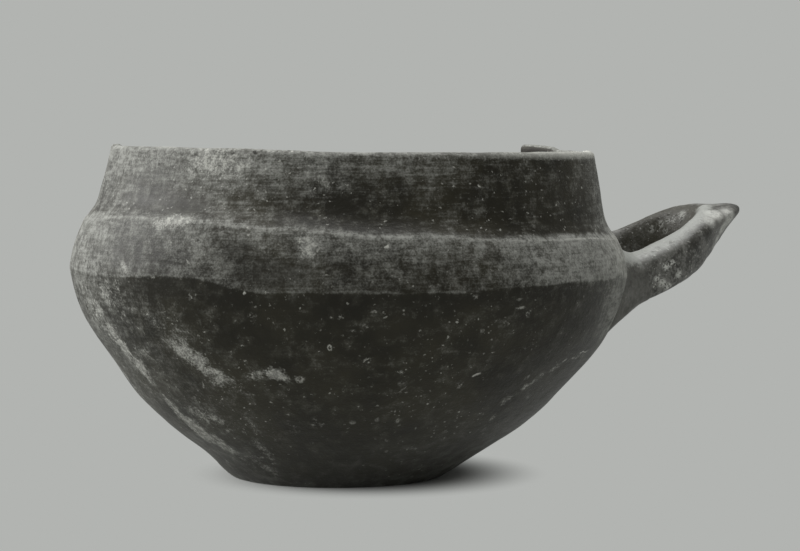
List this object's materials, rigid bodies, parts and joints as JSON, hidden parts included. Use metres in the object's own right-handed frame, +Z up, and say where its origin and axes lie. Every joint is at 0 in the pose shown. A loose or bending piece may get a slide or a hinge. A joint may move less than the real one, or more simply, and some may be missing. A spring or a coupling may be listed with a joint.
{
  "type": "handled bowl",
  "caption": "Hand-built dark earthenware bowl with a narrowing collar neck, an angular shoulder, a small flat foot and a rising loop handle that ends in a blunt spur; holds food or drink.",
  "frame": {"origin": "centre of the flat foot, on the surface the bowl stands on", "axes": "+Z up, +X towards the handle"},
  "size_m": [0.2251, 0.1806, 0.1076],
  "materials": {
    "burnished_clay": "satin",
    "handle_clay": "matte",
    "luting_clay": "matte"
  },
  "bodies": {
    "root": {"base_disc": "burnished_clay", "lower_wall": "burnished_clay", "shoulder_band": "burnished_clay", "neck_collar": "burnished_clay", "handle_loop": "handle_clay", "near_root_collar": "luting_clay", "far_root_collar": "luting_clay", "near_tenon_pad": "luting_clay", "far_tenon_pad": "luting_clay"}
  },
  "joints": []
}
